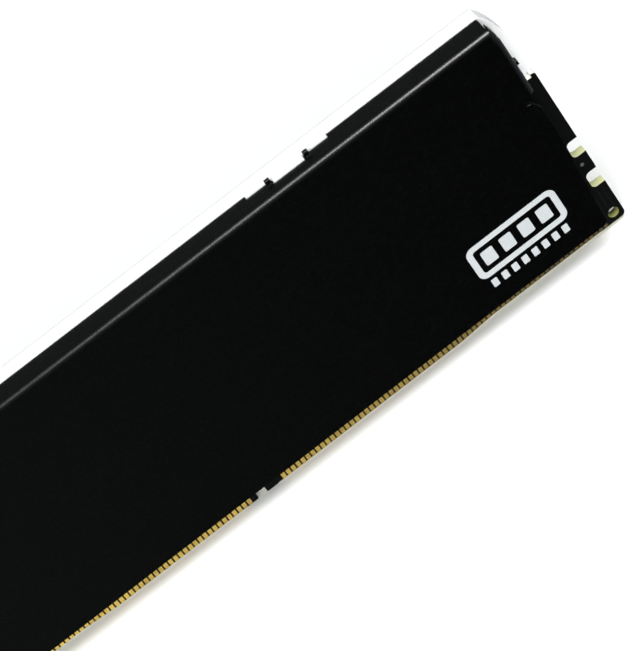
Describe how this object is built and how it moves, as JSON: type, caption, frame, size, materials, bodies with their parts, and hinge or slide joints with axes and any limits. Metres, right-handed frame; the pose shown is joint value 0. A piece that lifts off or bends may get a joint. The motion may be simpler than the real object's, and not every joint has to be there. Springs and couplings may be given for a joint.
{
  "type": "desktop memory module",
  "caption": "Desktop memory module: keyed, stepped card edge with gold contacts, folded black sheet-metal heat spreaders and a white light bar along the top that wraps round both ends.",
  "frame": {"origin": "on the card edge that plugs into the socket, in the middle of the board's length and of its thickness", "axes": "+X along the module towards the end that is on the right when the front is seen, +Z from the card edge up to the light bar, +Y from the front face to the back"},
  "size_m": [0.1334, 0.0074, 0.0457],
  "materials": {
    "board_mask": "black solder mask over glass fibre board, satin",
    "contact_gold": "thin gold plating, satin",
    "solder": "tin solder",
    "chip_mould": "moulded epoxy, matt",
    "resistor_ceramic": "black glazed ceramic with tin ends",
    "capacitor_ceramic": "brown ceramic with tin ends",
    "light_housing": "white moulded housing",
    "spreader_paint": "fine-textured satin black coating",
    "label_paper": "plain silver-grey sticker",
    "light_guide": "milky translucent white, satin",
    "thermal_pad": "soft grey silicone",
    "foam_tape": "black foam tape"
  },
  "bodies": {
    "module": {"back_capacitors": "capacitor_ceramic", "back_contacts_long_bank": "contact_gold", "back_contacts_short_bank": "contact_gold", "back_foam_tape": "foam_tape", "back_heat_spreader": "spreader_paint", "back_label": "label_paper", "back_resistor_arrays": "resistor_ceramic", "back_solder_balls": "solder", "back_thermal_pad": "thermal_pad", "bulk_capacitors": "capacitor_ceramic", "circuit_board": "board_mask", "front_capacitors": "capacitor_ceramic", "front_contacts_long_bank": "contact_gold", "front_contacts_short_bank": "contact_gold", "front_foam_tape": "foam_tape", "front_heat_spreader": "spreader_paint", "front_resistor_arrays": "resistor_ceramic", "front_solder_balls": "solder", "front_thermal_pad": "thermal_pad", "light_bar": "light_guide", "light_controller_chip": "chip_mould", "light_emitting_diodes": "light_housing", "memory_chip_back_1": "chip_mould", "memory_chip_back_2": "chip_mould", "memory_chip_back_3": "chip_mould", "memory_chip_back_4": "chip_mould", "memory_chip_back_5": "chip_mould", "memory_chip_back_6": "chip_mould", "memory_chip_back_7": "chip_mould", "memory_chip_back_8": "chip_mould", "memory_chip_front_1": "chip_mould", "memory_chip_front_2": "chip_mould", "memory_chip_front_3": "chip_mould", "memory_chip_front_4": "chip_mould", "memory_chip_front_5": "chip_mould", "memory_chip_front_6": "chip_mould", "memory_chip_front_7": "chip_mould", "memory_chip_front_8": "chip_mould", "presence_detect_chip": "chip_mould"}
  },
  "joints": []
}
